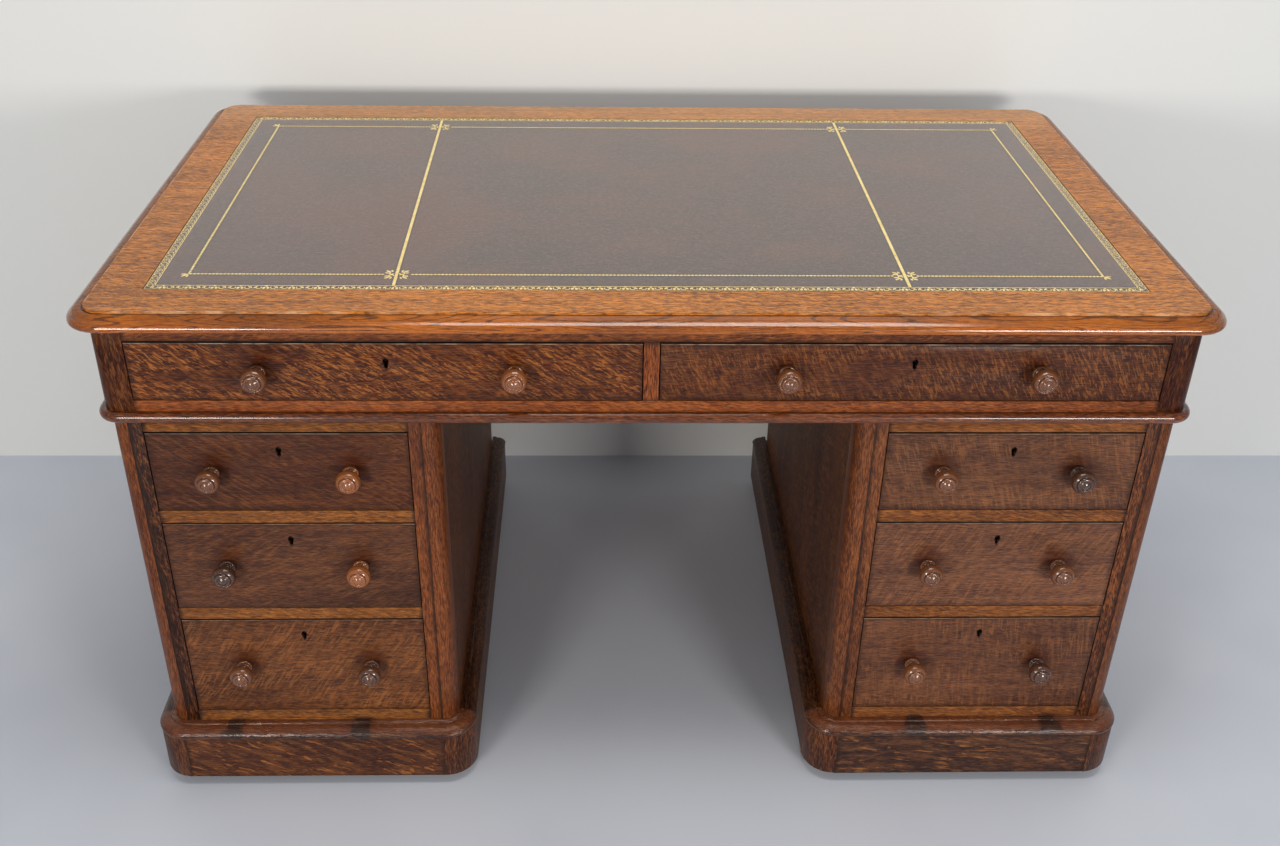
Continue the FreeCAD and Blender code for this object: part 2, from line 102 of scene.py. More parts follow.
def tint(tree, share, first, second):
    """The first colour, with a share of the second laid over it."""
    sockets = {0: share, 6: first, 7: second}
    return add(tree, "Mix", sockets, data_type="RGBA", clamp_factor=True).outputs[2]


paint, tree, shader = new_finish("floor_paint")
place = add(tree, "TexCoord").outputs["Object"]
mottle = cloud(tree, place, (1.1, 1.1, 1.1), 4.0)
shade = tint(tree, fade(tree, mottle, 0.35, 0.65), srgb(194, 199, 210), srgb(204, 209, 219))
tree.links.new(shade, shader.inputs["Base Color"])
shader.inputs["Roughness"].default_value = 0.6
floor.data.materials.append(paint)

plaster, tree, shader = new_finish("wall_paint")
shader.inputs["Base Color"].default_value = srgb(238, 239, 237)
shader.inputs["Roughness"].default_value = 0.8
back = add(tree, "NewGeometry").outputs["Backfacing"]
clear = add(tree, "BsdfTransparent").outputs[0]
mixed = add(tree, "MixShader", {0: back, 1: shader.outputs[0], 2: clear}).outputs[0]
tree.links.new(mixed, tree.nodes["Material Output"].inputs["Surface"])
wall.data.materials.append(plaster)

sky = bpy.data.worlds.new("studio")
bpy.context.scene.world = sky
sky.use_nodes = True
sky.node_tree.nodes["Background"].inputs["Color"].default_value = srgb(232, 238, 246)
sky.node_tree.nodes["Background"].inputs["Strength"].default_value = 0.38


def lamp(name, place, aim, wide, high, power, colour):
    """A soft rectangular lamp at place, turned to aim."""
    bpy.ops.object.light_add(type="AREA", location=place)
    made = bpy.context.object
    made.name = name
    made.rotation_euler = (Vector(aim) - Vector(place)).to_track_quat("-Z", "Y").to_euler()
    made.data.shape = "RECTANGLE"
    made.data.size = wide
    made.data.size_y = high
    made.data.energy = power
    made.data.color = colour[:3]


lamp("overhead", (0.2, -0.6, 3.0), (0, 0.1, 0.5), 1.5, 0.7, 27, srgb(255, 250, 242))
lamp("left_front", (-1.28, -2.5, 0.95), (-0.3, -0.3, 0.5), 0.66, 0.42, 26, srgb(255, 248, 238))
lamp("right_front", (1.31, -2.5, 0.95), (0.3, -0.3, 0.5), 0.68, 0.42, 27, srgb(255, 250, 244))

bpy.ops.object.camera_add(location=(-0.0711, -1.7774, 1.4709))
camera = bpy.context.object
camera.rotation_euler = (math.radians(59.264), math.radians(-0.7375), math.radians(-1.1464))
camera.data.lens = 37.672
camera.data.sensor_width = 36.0
camera.data.sensor_fit = "HORIZONTAL"
camera.data.shift_x = 0.01233
camera.data.shift_y = -0.01317
bpy.context.scene.camera = camera
bpy.context.scene.view_settings.view_transform = "Standard"

# The top: a solid oak board with a moulded edge and round corners, laid over the frieze. Its oak is
# fumed and waxed, so the flat is tan, the edge is redder, and the arris between them is worn light.


def maths(tree, how, first, second=0.0, third=0.0):
    """One step of arithmetic on numbers or sockets."""
    return add(tree, "Math", {0: first, 1: second, 2: third}, operation=how).outputs[0]


def off(tree, value, middle):
    """How far value lies from middle, to either side."""
    return maths(tree, "ABSOLUTE", maths(tree, "SUBTRACT", value, middle))


def squares(tree, first, second):
    """The sum of two squares, which is the square of a distance."""
    return maths(tree, "ADD", maths(tree, "MULTIPLY", first, first), maths(tree, "MULTIPLY", second, second))


def shaded(colour, shares):
    """A darker colour, with its red, green and blue each taken at a share."""
    return tuple(c * share for c, share in zip(colour, shares)) + (1.0,)


def oak(name, order, seed, tone, flecks=0.5, slant=20.0, fleck_size=1.0, gloss=0.45, coat=0.05,
        rim=(), rim_depth=0.5, contrast=1.0, mottle=0.0, marks=None, relief=0.45,
        ray_shape=(76, 290, 140), sparse=0.0, haze=0.35, shine=0.2):
    """Oak figured along the first axis of order. Tone is its middle colour; flecks are the rays of
    quarter-sawn boards, lying at slant degrees; rim names the outlines along which the piece is painted
    darker, and marks is a function that adds the marks of its own place: wear and stains, and on some
    pieces painted light and shade."""
    made, tree, shader = new_finish(name)
    spot = add(tree, "TexCoord").outputs["Object"]
    parts = add(tree, "SeparateXYZ", {0: spot}).outputs
    axis = {"X": parts[0], "Y": parts[1], "Z": parts[2]}
    turned = add(tree, "CombineXYZ", {i: axis[letter] for i, letter in enumerate(order)}).outputs[0]
    start = (seed, 1.7 * seed, 2.3 * seed)
    place = add(tree, "VectorMath", {0: turned, 1: start}, operation="ADD").outputs[0]
    drift = maths(tree, "MULTIPLY_ADD", cloud(tree, place, (2.2, 6, 6)), 0.04, -0.02)
    shift = add(tree, "CombineXYZ", {0: 0.0, 1: drift, 2: drift}).outputs[0]
    wavy = add(tree, "VectorMath", {0: place, 1: shift}, operation="ADD").outputs[0]

    rings = cloud(tree, wavy, (3, 150, 150), 3.0)
    fibres = cloud(tree, wavy, (90, 760, 760), 3.0, 0.65)
    broad = cloud(tree, place, (2.6, 9, 9), 3.0)
    level = 0.5
    for noise, strength in ((rings, 1.1 * contrast), (fibres, 3.4 * contrast), (broad, 0.9)):
        level = maths(tree, "MULTIPLY_ADD", noise, strength, maths(tree, "SUBTRACT", level, strength / 2))
    middle = srgb(*tone)
    tan = srgb(232, 150, 66)[:3]
    dark = shaded(middle, (0.30, 0.24, 0.28))
    light = tuple(min(0.9, 1.5 * c + 0.09 * t) for c, t in zip(middle, tan)) + (1.0,)
    golden = tuple(min(0.95, 1.5 * c + 0.32 * t) for c, t in zip(middle, tan)) + (1.0,)
    ramp = add(tree, "ValToRGB", {0: level})
    steps = ramp.color_ramp.elements
    steps[0].position = 0.08
    steps[0].color = dark
    steps[1].position = 0.95
    steps[1].color = light
    steps.new(0.5).color = middle
    colour = ramp.outputs[0]

    slanted = add(tree, "VectorRotate", {0: wavy, 1: (0, 0, 0), 3: math.radians(slant)},
                  rotation_type="Z_AXIS").outputs[0]
    size = 1.0 / fleck_size
    ray = cloud(tree, slanted, tuple(cells * size for cells in ray_shape), 2.0, 0.5, 0.7)
    patch = fade(tree, cloud(tree, place, (7, 20, 20), 2.0), 0.36, 0.54)
    fleck = maths(tree, "MULTIPLY", fade(tree, ray, 0.54 + sparse, 0.58 + sparse), patch)
    soft = fade(tree, cloud(tree, slanted, (30 * size, 130 * size, 80 * size), 2.0), 0.48, 0.62)
    fleck = maths(tree, "MULTIPLY_ADD", soft, haze, fleck)
    colour = tint(tree, maths(tree, "MULTIPLY", fleck, flecks), colour, golden)

    pores = fade(tree, cloud(tree, wavy, (70, 780, 780), 1.5), 0.54, 0.62)
    colour = tint(tree, maths(tree, "MULTIPLY", pores, 0.85 * min(1.0, contrast)), colour, dark)
    if mottle:
        blot = fade(tree, cloud(tree, place, (34, 90, 90), 4.0, 0.6), 0.50, 0.62, 0.0, mottle)
        colour = tint(tree, blot, colour, shaded(middle, (0.22, 0.18, 0.2)))

    patchy_noise = cloud(tree, place, (40, 40, 40), 3.0)
    rough = maths(tree, "MULTIPLY_ADD", fibres, 0.22, gloss - 0.11)
    if rim:
        gap = None
        for letter, low, high in rim:
            inside = maths(tree, "SUBTRACT", (high - low) / 2, off(tree, axis[letter], (low + high) / 2))
            gap = inside if gap is None else maths(tree, "MINIMUM", gap, inside)
        ragged = maths(tree, "MULTIPLY_ADD", patchy_noise, -0.008, maths(tree, "ADD", gap, 0.004))
        darkening = fade(tree, ragged, 0.0005, 0.0075, rim_depth, 0.0)
        colour = tint(tree, darkening, colour, srgb(34, 19, 13))
        rough = maths(tree, "MULTIPLY_ADD", darkening, 0.2, rough)
    glaze = coat
    if marks:
        colour, rough, glaze = marks(tree, spot, axis, colour, rough, patchy_noise, coat)
    tree.links.new(colour, shader.inputs["Base Color"])
    tree.links.new(rough, shader.inputs["Roughness"])
    shader.inputs["Coat Weight"].default_value = coat
    if not isinstance(glaze, float):
        tree.links.new(glaze, shader.inputs["Coat Weight"])
    shader.inputs["Coat Roughness"].default_value = 0.12
    shader.inputs["Specular IOR Level"].default_value = shine
    height = maths(tree, "MULTIPLY_ADD", pores, -0.9, maths(tree, "MULTIPLY_ADD", fibres, 0.6, rings))
    bump = add(tree, "Bump", {"Strength": relief, "Distance": 0.0005, "Height": height}).outputs[0]
    tree.links.new(bump, shader.inputs["Normal"])
    if relief > 1.0:
        tree.links.new(bump, shader.inputs["Coat Normal"])
    return made


top_low, top_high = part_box("top_board")
thumb_reach = 0.0205
flat_radius = 0.0245
redder = (0.625, 0.668)          # where the moulded edge turns redder, from the middle of the top
chips = (0.22, 0.45)             # where its arris gets chipped
painted_sheen = (0.22, 0.40)             # where the back of the flat is painted paler: a painted sheen
handled_x = 0.07                 # the middle of the stretch that sleeves have polished
handled_reach = (0.15, 0.42)


def top_wear_and_sheen(tree, spot, axis, colour, rough, patchy_noise, coat):
    """The top: paler towards the back of the flat, a painted sheen; on the moulded edge a worn light arris, a
    dark line in the step under it, and redder wood outside.
    """
    gaps = []
    for letter, low, high in (("X", top_low.x, top_high.x), ("Y", top_low.y, top_high.y)):
        apart = off(tree, axis[letter], (low + high) / 2)
        gaps.append(maths(tree, "SUBTRACT", apart, (high - low) / 2 - thumb_reach - flat_radius))
    outer = [maths(tree, "MAXIMUM", gap, 0.0) for gap in gaps]
    nearest = maths(tree, "MAXIMUM", gaps[0], gaps[1])
    inner = maths(tree, "MINIMUM", nearest, 0.0)
    rounded = maths(tree, "POWER", squares(tree, outer[0], outer[1]), 0.5)
    past = maths(tree, "SUBTRACT", maths(tree, "ADD", rounded, inner), flat_radius)
    corner = fade(tree, maths(tree, "MINIMUM", gaps[0], gaps[1]), -0.006, 0.002)
    outside = maths(tree, "ABSOLUTE", axis["X"])

    swell = cloud(tree, spot, (2.3, 5, 48), 2.0, 0.45, 0.25)
    bands = maths(tree, "SINE", maths(tree, "MULTIPLY", swell, 118.0))
    warm = fade(tree, cloud(tree, spot, (2.2, 3, 9), 3.0), 0.38, 0.60)
    thread = fade(tree, cloud(tree, spot, (9, 60, 420), 3.0), 0.50, 0.64, 0.0, 0.4)
    fresh = tint(tree, warm, srgb(110, 50, 8), srgb(176, 92, 8))
    fresh = tint(tree, thread, fresh, srgb(92, 36, 10))
    fresh = tint(tree, fade(tree, bands, 0.70, 0.98, 0.0, 0.9), fresh, srgb(58, 20, 6))
    fresh = tint(tree, fade(tree, outside, *redder, 0.0, 0.6), fresh, srgb(82, 38, 20))
    # Paler towards the back of the flat: a painted sheen.
    colour = tint(tree, fade(tree, axis["Y"], *painted_sheen, 0.0, 0.35), colour, srgb(214, 174, 132))
    colour = tint(tree, fade(tree, past, -0.001, 0.002, 0.0, 0.8), colour, fresh)

    darkening = maths(tree, "MULTIPLY", fade(tree, past, 0.0, 0.0006), fade(tree, past, 0.0016, 0.003, 1.0, 0.0))
    darkening = maths(tree, "MULTIPLY", darkening, fade(tree, corner, 0.0, 1.0, 0.7, 1.0))
    colour = tint(tree, darkening, colour, srgb(44, 20, 12))
    arris = maths(tree, "MULTIPLY", fade(tree, past, -0.0013, -0.0006),
                  fade(tree, past, -0.0001, 0.0003, 1.0, 0.0))
    chipped = fade(tree, cloud(tree, spot, (30, 30, 30), 4.0), 0.40, 0.62, 0.0, 0.75)
    chipped = maths(tree, "MULTIPLY", chipped, maths(tree, "SUBTRACT", 1.0, corner))
    chipped = maths(tree, "MULTIPLY", chipped, fade(tree, outside, *chips, 0.35, 1.0))
    colour = tint(tree, maths(tree, "MULTIPLY", arris, chipped), colour, srgb(236, 190, 142))

    rough = maths(tree, "SUBTRACT", rough, fade(tree, past, 0.0, 0.003, 0.0, 0.12))
    handled = fade(tree, off(tree, axis["X"], handled_x), *handled_reach, 0.8, 0.0)
    polish = maths(tree, "MAXIMUM", fade(tree, past, 0.011, 0.015), handled)
    polish = maths(tree, "MULTIPLY", polish, fade(tree, past, 0.001, 0.003))
    return colour, rough, maths(tree, "MAXIMUM", polish, fade(tree, past, 0.0, 0.002, coat, 0.04))


def dress(node, finish):
    """Gives a CAD node its finish."""
    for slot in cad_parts[node].material_slots:
        slot.material = finish


dress("top_board", oak("top_oak", "XYZ", 3.1, (180, 110, 40), flecks=0.35, slant=38.0, fleck_size=0.6,
                       gloss=0.38, coat=0.22, contrast=0.9, marks=top_wear_and_sheen, relief=0.9))

# The writing leather: one dark brown hide glued into a shallow bed, tooled in gold leaf with a heated
# roll. It replaces the CAD sheet, a hair below the wood so that the gilding stays under the top.
leather_low, leather_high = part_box("writing_leather")
leather_top = leather_high.z - 0.0005
glue_film = 0.0001
frame_inset = 0.0440
parting = (-0.3129, 0.3183)
wide = leather_high.x - leather_low.x
deep = leather_high.y - leather_low.y
centre_y = (leather_high.y + leather_low.y) / 2
bpy.ops.mesh.primitive_grid_add(x_subdivisions=60, y_subdivisions=32, size=1,
                                location=(0, centre_y, leather_top))
hide = bpy.context.object
hide.name = "tooled_leather"
hide.scale = (wide, deep, 1)
bpy.ops.object.transform_apply(location=True, rotation=True, scale=True)


def thicken(made, thickness, side):
    """Gives a flat sheet its thickness, above it where side is 1 and below it where side is -1."""
    solid = made.modifiers.new("thickness", "SOLIDIFY")
    solid.thickness = thickness
    solid.offset = side
    bpy.ops.object.modifier_apply(modifier="thickness")


thicken(hide, leather_top - leather_low.z - glue_film, -1.0)
cut = hide.modifiers.new("edge", "BEVEL")
cut.width = 0.0004
cut.segments = 2
cut.limit_method = "ANGLE"
cut.angle_limit = math.radians(60)
bpy.ops.object.modifier_apply(modifier="edge")
bpy.ops.object.shade_smooth_by_angle(angle=math.radians(40))

skin, tree, shader = new_finish("brown_leather")
spot = add(tree, "TexCoord").outputs["Object"]
blotch = cloud(tree, spot, (5, 7, 5), 5.0, 0.6)
speck = cloud(tree, spot, (190, 300, 190), 4.0, 0.8)
warm = cloud(tree, spot, (2.1, 2.6, 2), 1.0)
creases = cloud(tree, spot, (60, 130, 60), 4.0, 0.6, 1.2)
cells = add(tree, "TexVoronoi", {"Vector": spot, "Scale": 620.0}, feature="DISTANCE_TO_EDGE")
cells = cells.outputs["Distance"]
colour = tint(tree, fade(tree, blotch, 0.36, 0.66), srgb(50, 26, 20), srgb(88, 53, 42))
colour = tint(tree, fade(tree, warm, 0.42, 0.66, 0.0, 0.5), colour, srgb(98, 46, 34))
colour = tint(tree, fade(tree, speck, 0.46, 0.62, 0.0, 0.4), colour, srgb(140, 98, 82))
colour = tint(tree, fade(tree, cells, 0.0, 0.25, 0.3, 0.0), colour, srgb(40, 24, 20))

# Beside the beaded line and each of the two parting lines runs a dark one, pressed without gold.
beaded_to_blind = 0.0030
parting_to_blind = 0.0034
parts = add(tree, "SeparateXYZ", {0: spot}).outputs
inside = maths(tree, "MINIMUM",
               maths(tree, "SUBTRACT", wide / 2 - frame_inset, maths(tree, "ABSOLUTE", parts[0])),
               maths(tree, "SUBTRACT", deep / 2 - frame_inset, off(tree, parts[1], centre_y)))
aside = maths(tree, "SUBTRACT", off(tree, parts[0], sum(parting) / 2), (parting[1] - parting[0]) / 2)
for gap, reach in ((inside, beaded_to_blind), (aside, parting_to_blind)):
    away = off(tree, maths(tree, "ABSOLUTE", gap), reach)
    colour = tint(tree, fade(tree, away, 0.0004, 0.0014, 0.75, 0.0), colour, srgb(30, 18, 14))
tree.links.new(colour, shader.inputs["Base Color"])
tree.links.new(maths(tree, "MULTIPLY_ADD", blotch, 0.25, 0.25), shader.inputs["Roughness"])
height = maths(tree, "MULTIPLY_ADD", fade(tree, cells, 0.0, 0.3), 0.35, creases)
bump = add(tree, "Bump", {"Strength": 0.55, "Distance": 0.0006, "Height": height}).outputs[0]
tree.links.new(bump, shader.inputs["Normal"])
shader.inputs["Coat Weight"].default_value = 1.0
shader.inputs["Coat Roughness"].default_value = 0.22
hide.data.materials.append(skin)
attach(hide, "carcase")
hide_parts("writing_leather")

# The gold tooling, pressed into the hide: a border roll of double buds between scrolled leaves, a
# beaded line inside it, two plain lines that part the top in three, and leaves where lines cross.
gilt_height = leather_top + 0.0001
gilt_thick = 0.00012


def leaf(u, w, length, width, angle, corners=6):
    """A flat leaf or bud of gold, at u and w in millimetres from the middle of its tool."""
    bpy.ops.mesh.primitive_circle_add(vertices=corners, radius=0.0005, fill_type="NGON")
    made = bpy.context.object
    made.scale = (length, width, 1)
    made.rotation_euler = (0, 0, math.radians(angle))
    made.location = (u / 1000, w / 1000, 0)
    bpy.ops.object.transform_apply(location=True, rotation=True, scale=True)
    return made


def scroll(u, w, radius, start, sweep, width, steps=5):
    """A flat curl of gold: a short edge spun about u and w from start degrees."""
    bpy.ops.mesh.primitive_plane_add(size=width / 1000, location=(radius / 1000, 0, 0))
    made = bpy.context.object
    bpy.ops.object.transform_apply(location=True, rotation=True, scale=True)
    front = max(v.co.y for v in made.data.vertices)
    for v in made.data.vertices:
        v.select = abs(v.co.y - front) < 1e-7
    for e in made.data.edges:
        e.select = all(made.data.vertices[i].select for i in e.vertices)
    for f in made.data.polygons:
        f.select = False
    bpy.ops.object.mode_set(mode="EDIT")
    bpy.ops.mesh.select_mode(type="EDGE")
    bpy.ops.mesh.spin(steps=steps, angle=math.radians(sweep), center=(0, 0, 0), axis=(0, 0, 1))
    bpy.ops.object.mode_set(mode="OBJECT")
    made.rotation_euler = (0, 0, math.radians(start))
    made.location = (u / 1000, w / 1000, 0)
    bpy.ops.object.transform_apply(location=True, rotation=True, scale=True)
    return made


def joined(shapes):
    """The shapes as one object."""
    bpy.ops.object.select_all(action="DESELECT")
    for shape in shapes:
        shape.select_set(True)
    bpy.context.view_layer.objects.active = shapes[0]
    bpy.ops.object.join()
    return bpy.context.object


def one_tool(name, shapes):
    """The shapes as one tool, turned face up and given the thickness of leaf."""
    made = joined(shapes)
    made.name = name
    bpy.ops.object.mode_set(mode="EDIT")
    bpy.ops.mesh.select_all(action="SELECT")
    bpy.ops.mesh.normals_make_consistent(inside=False)
    bpy.ops.object.mode_set(mode="OBJECT")
    if sum(f.normal.z for f in made.data.polygons) < 0:
        made.data.flip_normals()
    for f in made.data.polygons:
        f.select = f.normal.z < 0
    bpy.ops.object.mode_set(mode="EDIT")
    bpy.ops.mesh.select_mode(type="FACE")
    bpy.ops.mesh.flip_normals()
    bpy.ops.object.mode_set(mode="OBJECT")
    thicken(made, gilt_thick, 1.0)
    return made


def stamped(tool, places):
    """Copies of a tool at each place (x, y, angle), joined; the tool itself is then put away."""
    copies = []
    for x, y, angle in places:
        made = tool.copy()
        made.data = tool.data.copy()
        bpy.context.collection.objects.link(made)
        turn = Matrix.Rotation(math.radians(angle), 4, "Z")
        made.data.transform(Matrix.Translation((x, y, gilt_height)) @ turn)
        copies.append(made)
    bpy.data.objects.remove(tool)
    return joined(copies)


def line(x0, x1, y0, y1):
    """A plain gold line between two corners."""
    bpy.ops.mesh.primitive_plane_add(size=1, location=((x0 + x1) / 2, (y0 + y1) / 2, gilt_height))
    made = bpy.context.object
    made.scale = (x1 - x0, y1 - y0, 1)
    bpy.ops.object.transform_apply(location=True, rotation=True, scale=True)
    bpy.ops.object.mode_set(mode="EDIT")
    bpy.ops.mesh.subdivide(number_cuts=6)
    bpy.ops.object.mode_set(mode="OBJECT")
    thicken(made, gilt_thick, 1.0)
    return made


def spaced(reach, count):
    """The middles of count even steps from -reach to reach."""
    return [-reach + (step + 0.5) * 2 * reach / count for step in range(count)]


half_wide = wide / 2
half_deep = deep / 2
band = 0.0065
roll_count = 39
chain_count = 20
roll = one_tool("roll", [
    leaf(-2.4, -1.2, 3.8, 6.0, -14, 7), leaf(2.4, -1.2, 3.8, 6.0, 14, 7), leaf(0, 3.6, 3.2, 2.8, 0),
    scroll(-8.6, -0.4, 3.2, 30, 285, 1.3, 6), scroll(8.6, -0.4, 3.2, 150, -285, 1.3, 6),
    leaf(-13.0, 0.4, 6.4, 2.6, 62), leaf(13.0, 0.4, 6.4, 2.6, -62)])
places = []
for x in spaced(half_wide - band, roll_count):
    places += [(x, centre_y - half_deep + band, 0), (x, centre_y + half_deep - band, 180)]
gilt = [stamped(roll, places)]
chain = one_tool("chain", [
    scroll(-10.3, -0.6, 3.6, 0, 320, 1.0, 8), scroll(0, -0.6, 3.6, 0, 320, 1.0, 8),
    scroll(10.3, -0.6, 3.6, 0, 320, 1.0, 8), leaf(0, -0.6, 2.2, 2.2, 0), leaf(-5.2, 3.6, 3.0, 1.8, 0),
    leaf(5.2, 3.6, 3.0, 1.8, 0), leaf(-5.2, -4.4, 2.0, 1.4, 0), leaf(5.2, -4.4, 2.0, 1.4, 0),
    leaf(15.4, 3.6, 2.6, 1.8, 0)])
places = []
for y in spaced(half_deep - band, chain_count):
    places += [(half_wide - band, centre_y + y, 90), (-half_wide + band, centre_y + y, -90)]
gilt.append(stamped(chain, places))

# Each plain line of the border: its inset from the hide's edge, how far short it ends, half its width.
inner_line = 0.0115
outer_line = 0.0014
for inset, short, half in ((inner_line, inner_line, 0.0005), (outer_line, 0.001, 0.0003)):
    for side in (-1, 1):
        x = side * (half_wide - inset)
        y = centre_y + side * (half_deep - inset)
        gilt.append(line(short - half_wide, half_wide - short, y - half, y + half))
        gilt.append(line(x - half, x + half, centre_y - half_deep + short, centre_y + half_deep - short))

frame_x = half_wide - frame_inset
frame_y = half_deep - frame_inset
bead_pitch = 0.0046
crossing_reach = 0.0155
parting_half = 0.0019
bead = one_tool("bead", [leaf(0, 0, 4.7, 3.4, 12)])
places = []
for x in spaced(frame_x, int(2 * frame_x / bead_pitch)):
    if min(abs(x - parted) for parted in parting) > crossing_reach:
        places += [(x, centre_y - frame_y, 0), (x, centre_y + frame_y, 180)]
for y in spaced(frame_y, int(2 * frame_y / bead_pitch)):
    places += [(frame_x, centre_y + y, 90), (-frame_x, centre_y + y, -90)]
gilt.append(stamped(bead, places))
for parted in parting:
    gilt.append(line(parted - parting_half, parted + parting_half,
                     centre_y - half_deep + inner_line, centre_y + half_deep - inner_line))

spray = one_tool("spray", [
    scroll(6.2, 3.7, 3.0, 200, -240, 2.0), scroll(6.2, -3.7, 3.0, 160, 240, 2.0),
    leaf(11.0, 9.0, 8.0, 3.6, 38), leaf(11.0, -9.0, 8.0, 3.6, -38),
    leaf(6.4, 10.0, 5.6, 3.0, 72), leaf(6.4, -10.0, 5.6, 3.0, -72),
    leaf(12.2, 4.4, 6.0, 3.0, 10), leaf(12.2, -4.4, 6.0, 3.0, -10)])
places = [(parted, centre_y + end * frame_y, angle)
          for parted in parting for end in (-1, 1) for angle in (0, 180)]
gilt.append(stamped(spray, places))
tip = one_tool("tip", [leaf(5.6, 0, 11.5, 3.8, 0), leaf(4.8, 3.8, 7.4, 3.0, 42),
                       leaf(4.8, -3.8, 7.4, 3.0, -42)])
places = [(side * frame_x, centre_y + end * frame_y, math.degrees(math.atan2(end, side)))
          for side in (-1, 1) for end in (-1, 1)]
gilt.append(stamped(tip, places))
gilding = joined(gilt)
gilding.name = "gold_tooling"

gold, tree, shader = new_finish("gold_leaf")
spot = add(tree, "TexCoord").outputs["Object"]
rubbed = cloud(tree, spot, (90, 90, 90), 3.0)
lost = fade(tree, cloud(tree, spot, (260, 260, 260), 2.0), 0.63, 0.70, 0.0, 0.6)
colour = tint(tree, fade(tree, rubbed, 0.35, 0.65), srgb(246, 214, 134), srgb(255, 234, 166))
tree.links.new(tint(tree, lost, colour, srgb(128, 96, 58)), shader.inputs["Base Color"])
tree.links.new(fade(tree, rubbed, 0.3, 0.7, 0.30, 0.5), shader.inputs["Roughness"])
shader.inputs["Metallic"].default_value = 0.2
gilding.data.materials.append(gold)
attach(gilding, "carcase")

# The frieze: rounded corner posts with upright grain, tenoned to a top and a bottom rail, a muntin
# between the two drawers, and plain end and back boards behind the posts.


def eased(node, name, wanted=lambda c: True, ease=0.0006):
    """A copy of the boards of a CAD node whose faces answer to wanted, with their arrises eased."""
    bpy.ops.object.select_all(action="DESELECT")
    made = bpy.data.objects.new(name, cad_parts[node].data.copy())
    bpy.context.collection.objects.link(made)
    made.data.materials.clear()
    for group in (made.data.vertices, made.data.edges):
        for item in group:
            item.select = False
    for face in made.data.polygons:
        face.select = not wanted(face.center)
    made.select_set(True)
    bpy.context.view_layer.objects.active = made
    bpy.ops.object.mode_set(mode="EDIT")
    bpy.ops.mesh.select_mode(type="FACE")
    bpy.ops.mesh.delete(type="FACE")
    bpy.ops.mesh.select_all(action="SELECT")
    bpy.ops.mesh.remove_doubles(threshold=0.00001)
    bpy.ops.mesh.dissolve_limited(angle_limit=math.radians(0.3))
    bpy.ops.object.mode_set(mode="OBJECT")
    if ease:
        bevel = made.modifiers.new("eased", "BEVEL")
        bevel.width = ease
        bevel.segments = 2
        bevel.limit_method = "ANGLE"
        bevel.angle_limit = math.radians(50)
        bevel.use_clamp_overlap = False
        bpy.ops.object.modifier_apply(modifier="eased")
    bpy.ops.object.shade_smooth_by_angle(angle=math.radians(35))
    return made


def fit(made, finish, body, node):
    """Lays the finish on a piece, and lets it ride with its body in the place of its CAD node."""
    made.data.materials.clear()
    made.data.materials.append(finish)
    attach(made, body)
    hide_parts(node)


post_oak = oak("frieze_post_oak", "ZXY", 5.3, (56, 19, 5), flecks=0.25, slant=8.0, gloss=0.36, coat=0.03,
               contrast=0.7, shine=0.14)
fit(eased("frieze_posts", "frieze_posts_eased"), post_oak, "carcase", "frieze_posts")
front_gap = 0.0013
muntin_half = 0.0096
rail_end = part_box("frieze_rails")[1].x
drawer_low, drawer_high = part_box("left_frieze_drawer_front")
opening_low = drawer_low.z - front_gap
opening_high = drawer_high.z + front_gap


def in_muntin(c):
    return abs(c.x) < muntin_half and opening_low < c.z < opening_high


lower_rail_oak = oak("frieze_rail_oak", "XZY", 8.2, (120, 59, 22), flecks=0.25, slant=24.0, contrast=0.7,
                     rim=(("X", -rail_end, rail_end),), rim_depth=0.7)
fit(eased("frieze_rails", "frieze_bottom_rail", lambda c: c.z < opening_low and not in_muntin(c)),
    lower_rail_oak, "carcase", "frieze_rails")
# The top rail is toned a little darker than the bottom one, a painted shade under the overhang of the top,
# and its lower edge over the drawers is painted darker, a painted shadow of the gap.
upper_rail_oak = oak("frieze_top_rail_oak", "XZY", 7.1, (112, 58, 24), flecks=0.25, slant=-24.0, contrast=0.7,
                     rim=(("X", -rail_end, rail_end), ("Z", opening_high - 0.001, 2.0)), rim_depth=0.75)
fit(eased("frieze_rails", "frieze_top_rail", lambda c: c.z > opening_low and not in_muntin(c)),
    upper_rail_oak, "carcase", "frieze_rails")
muntin_oak = oak("muntin_oak", "ZXY", 9.7, (106, 50, 20), flecks=0.2,
                 rim=(("Z", opening_low, opening_high),), rim_depth=0.7)
fit(eased("frieze_rails", "frieze_muntin", in_muntin), muntin_oak, "carcase", "frieze_rails")
dress("frieze_sides", oak("frieze_side_oak", "YZX", 12.4, (64, 29, 12), flecks=0.4, slant=-28.0, coat=0.0))
dress("frieze_back", oak("frieze_back_oak", "XZY", 14.9, (108, 62, 30), flecks=0.35, gloss=0.55))
inner_oak = oak("inner_oak", "YXZ", 17.2, (150, 112, 74), flecks=0.3, gloss=0.68, coat=0.0)
dress("frieze_runners", inner_oak)

# The waist moulding: a bead planed on a strip of oak, bent to the corners and pinned round the foot
# of the frieze, where it hides the joint with the pedestals. Dowels in that joint locate the top.
dress("waist_moulding", oak("waist_oak", "XZY", 21.6, (94, 44, 16), flecks=0.15, gloss=0.3, coat=0.8,
                            contrast=0.8, relief=0.35))
dress("location_dowels", oak("dowel_oak", "ZXY", 24.1, (170, 128, 84), flecks=0.1, gloss=0.6, coat=0.0))

